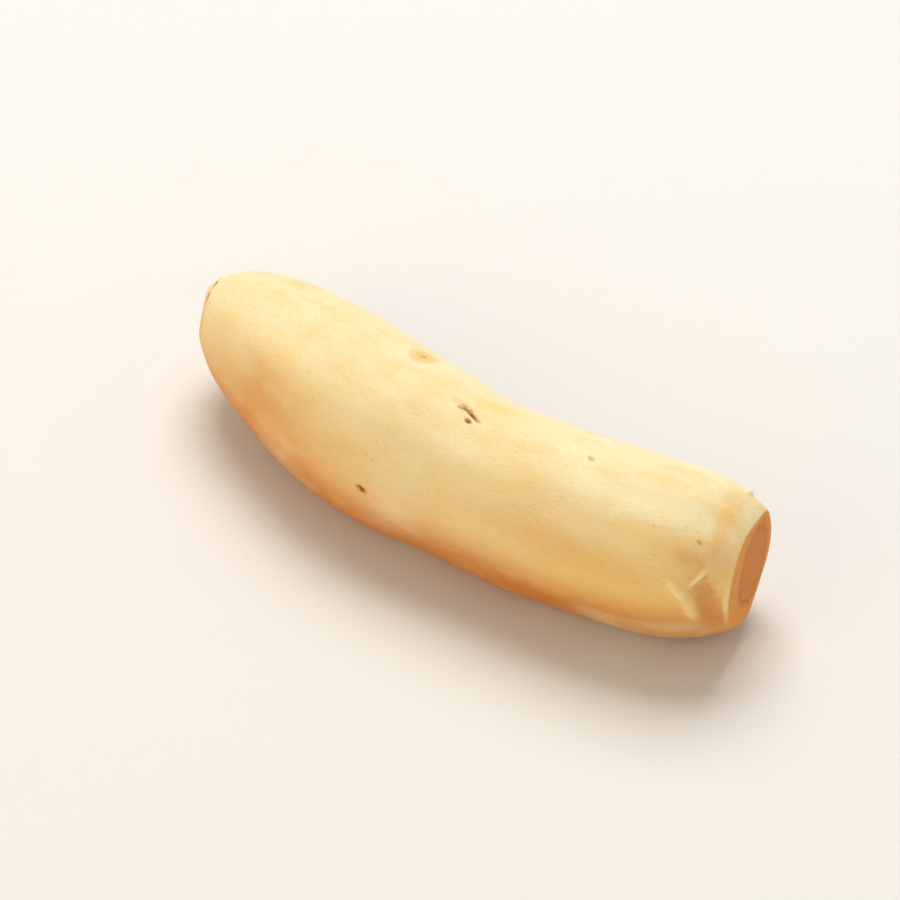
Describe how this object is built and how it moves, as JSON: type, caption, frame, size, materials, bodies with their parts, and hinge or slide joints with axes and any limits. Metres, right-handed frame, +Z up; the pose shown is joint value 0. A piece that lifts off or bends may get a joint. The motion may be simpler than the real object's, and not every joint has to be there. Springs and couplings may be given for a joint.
{
  "type": "white turmeric root",
  "caption": "Peeled finger of white turmeric rhizome, gently bent, with a rounded tip and a trimmed flat end, lying on its side.",
  "frame": {"origin": "on the surface that the root rests on, under the middle of its bounding box", "axes": "+X along the root from its tip to its cut end, +Z up, and the outside of the bend towards -Y"},
  "size_m": [0.1058, 0.0312, 0.0272],
  "materials": {
    "peeled_flesh": "satin, slightly moist, cream to pale yellow with tan patches"
  },
  "bodies": {
    "root": {"turmeric_root": "peeled_flesh"}
  },
  "joints": []
}
